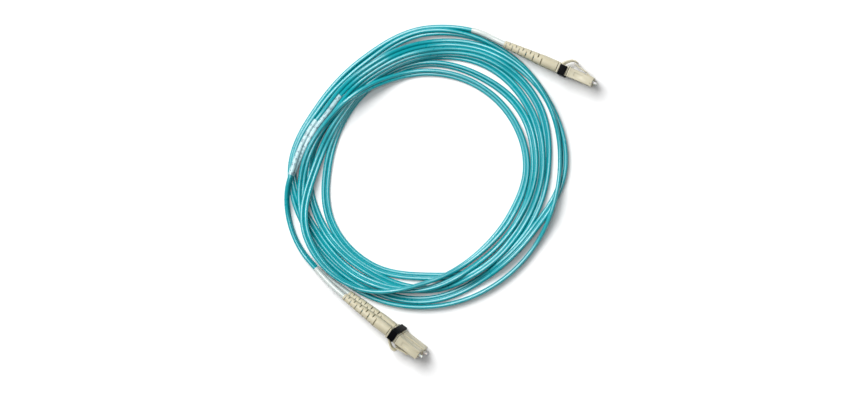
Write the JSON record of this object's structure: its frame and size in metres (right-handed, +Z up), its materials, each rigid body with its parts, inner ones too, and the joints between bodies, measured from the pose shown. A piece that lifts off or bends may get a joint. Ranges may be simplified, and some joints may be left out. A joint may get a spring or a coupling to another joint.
{
  "type": "fiber optic patch cord",
  "caption": "Coiled duplex fiber optic patch cord with a latched small-form-factor plug pair, clip and slotted strain reliefs at each end.",
  "frame": {"origin": "on the table, at the centre of the rectangle that holds the two connectors without the loose cord", "axes": "+Z up from the table; +X and +Y lie in the table, with connector b towards +X +Y and connector a towards -X -Y"},
  "size_m": [0.1515, 0.162, 0.0142],
  "materials": {
    "beige_plastic": "satin moulded polymer",
    "beige_rubber": "soft matt moulding",
    "black_plastic": "satin moulded polymer",
    "zirconia": "polished ceramic",
    "nickel": "nickel plated, turned",
    "spring_steel": "bright drawn wire",
    "white_sleeve": "translucent white tubing",
    "aqua_jacket": "smooth satin cable jacket",
    "buffer_coat": "smooth coating"
  },
  "bodies": {
    "cord_assembly": {"a1_boot": "beige_rubber", "a1_buffered_fibre": "buffer_coat", "a1_crimp_body": "nickel", "a1_crimp_sleeve": "nickel", "a1_ferrule_spring": "spring_steel", "a1_front_housing": "beige_plastic", "a1_leg": "aqua_jacket", "a1_leg_sleeve": "white_sleeve", "a1_rear_body": "beige_plastic", "a2_boot": "beige_rubber", "a2_buffered_fibre": "buffer_coat", "a2_crimp_body": "nickel", "a2_crimp_sleeve": "nickel", "a2_ferrule_spring": "spring_steel", "a2_front_housing": "beige_plastic", "a2_leg": "aqua_jacket", "a2_leg_sleeve": "white_sleeve", "a2_rear_body": "beige_plastic", "a_cord_tail": "aqua_jacket", "a_duplex_clip": "black_plastic", "b1_boot": "beige_rubber", "b1_buffered_fibre": "buffer_coat", "b1_crimp_body": "nickel", "b1_crimp_sleeve": "nickel", "b1_ferrule_spring": "spring_steel", "b1_front_housing": "beige_plastic", "b1_leg": "aqua_jacket", "b1_leg_sleeve": "white_sleeve", "b1_rear_body": "beige_plastic", "b2_boot": "beige_rubber", "b2_buffered_fibre": "buffer_coat", "b2_crimp_body": "nickel", "b2_crimp_sleeve": "nickel", "b2_ferrule_spring": "spring_steel", "b2_front_housing": "beige_plastic", "b2_leg": "aqua_jacket", "b2_leg_sleeve": "white_sleeve", "b2_rear_body": "beige_plastic", "b_cord_tail": "aqua_jacket", "b_duplex_clip": "black_plastic", "cord_coil": "aqua_jacket", "label_sleeve": "white_sleeve"},
    "a1_trigger": {"a1_trigger": "beige_plastic"},
    "a1_latch": {"a1_latch": "beige_plastic"},
    "a1_ferrule": {"a1_ferrule": "zirconia", "a1_ferrule_flange": "nickel"},
    "a2_trigger": {"a2_trigger": "beige_plastic"},
    "a2_latch": {"a2_latch": "beige_plastic"},
    "a2_ferrule": {"a2_ferrule": "zirconia", "a2_ferrule_flange": "nickel"},
    "b1_trigger": {"b1_trigger": "beige_plastic"},
    "b1_latch": {"b1_latch": "beige_plastic"},
    "b1_ferrule": {"b1_ferrule": "zirconia", "b1_ferrule_flange": "nickel"},
    "b2_trigger": {"b2_trigger": "beige_plastic"},
    "b2_latch": {"b2_latch": "beige_plastic"},
    "b2_ferrule": {"b2_ferrule": "zirconia", "b2_ferrule_flange": "nickel"}
  },
  "joints": [
    {"name": "a1_trigger_press", "type": "hinge", "parent": "cord_assembly", "child": "a1_trigger", "pos_m": [-0.03832, -0.06553, 0.00905], "axis": [-0.2625, -0.2336, 0.9362], "range_deg": [0, 16], "stiffness_Nm_per_rad": 0.02},
    {"name": "a1_latch_flex", "type": "hinge", "parent": "cord_assembly", "child": "a1_latch", "pos_m": [-0.02613, -0.0748, 0.01015], "axis": [-0.2625, -0.2336, 0.9362], "range_deg": [-8, 0]},
    {"name": "a1_ferrule_push", "type": "slide", "parent": "cord_assembly", "child": "a1_ferrule", "axis": [-0.7904, 0.6087, -0.0698], "range_m": [0, 0.001], "stiffness_N_per_m": 800, "deforming": ["a1_ferrule_spring"]},
    {"name": "a2_trigger_press", "type": "hinge", "parent": "cord_assembly", "child": "a2_trigger", "pos_m": [-0.03668, -0.06407, 0.00319], "axis": [-0.2625, -0.2336, 0.9362], "range_deg": [0, 16], "stiffness_Nm_per_rad": 0.02},
    {"name": "a2_latch_flex", "type": "hinge", "parent": "cord_assembly", "child": "a2_latch", "pos_m": [-0.02449, -0.07334, 0.0043], "axis": [-0.2625, -0.2336, 0.9362], "range_deg": [-8, 0]},
    {"name": "a2_ferrule_push", "type": "slide", "parent": "cord_assembly", "child": "a2_ferrule", "axis": [-0.7904, 0.6087, -0.0698], "range_m": [0, 0.001], "stiffness_N_per_m": 800, "deforming": ["a2_ferrule_spring"]},
    {"name": "b1_trigger_press", "type": "hinge", "parent": "cord_assembly", "child": "b1_trigger", "pos_m": [0.04489, 0.06473, 0.00349], "axis": [0, 0, -1], "range_deg": [0, 16], "stiffness_Nm_per_rad": 0.02},
    {"name": "b1_latch_flex", "type": "hinge", "parent": "cord_assembly", "child": "b1_latch", "pos_m": [0.05888, 0.05842, 0.00349], "axis": [0, 0, -1], "range_deg": [-8, 0]},
    {"name": "b1_ferrule_push", "type": "slide", "parent": "cord_assembly", "child": "b1_ferrule", "axis": [-0.9143, 0.4051, 0], "range_m": [0, 0.001], "stiffness_N_per_m": 800, "deforming": ["b1_ferrule_spring"]},
    {"name": "b2_trigger_press", "type": "hinge", "parent": "cord_assembly", "child": "b2_trigger", "pos_m": [0.04489, 0.06473, 0.00975], "axis": [0, 0, -1], "range_deg": [0, 16], "stiffness_Nm_per_rad": 0.02},
    {"name": "b2_latch_flex", "type": "hinge", "parent": "cord_assembly", "child": "b2_latch", "pos_m": [0.05888, 0.05842, 0.00975], "axis": [0, 0, -1], "range_deg": [-8, 0]},
    {"name": "b2_ferrule_push", "type": "slide", "parent": "cord_assembly", "child": "b2_ferrule", "axis": [-0.9143, 0.4051, 0], "range_m": [0, 0.001], "stiffness_N_per_m": 800, "deforming": ["b2_ferrule_spring"]}
  ],
  "couplings": [
    {"joint": "a1_latch_flex", "follows": "a1_trigger_press", "ratio": -0.5},
    {"joint": "a2_latch_flex", "follows": "a2_trigger_press", "ratio": -0.5},
    {"joint": "b1_latch_flex", "follows": "b1_trigger_press", "ratio": -0.5},
    {"joint": "b2_latch_flex", "follows": "b2_trigger_press", "ratio": -0.5}
  ]
}
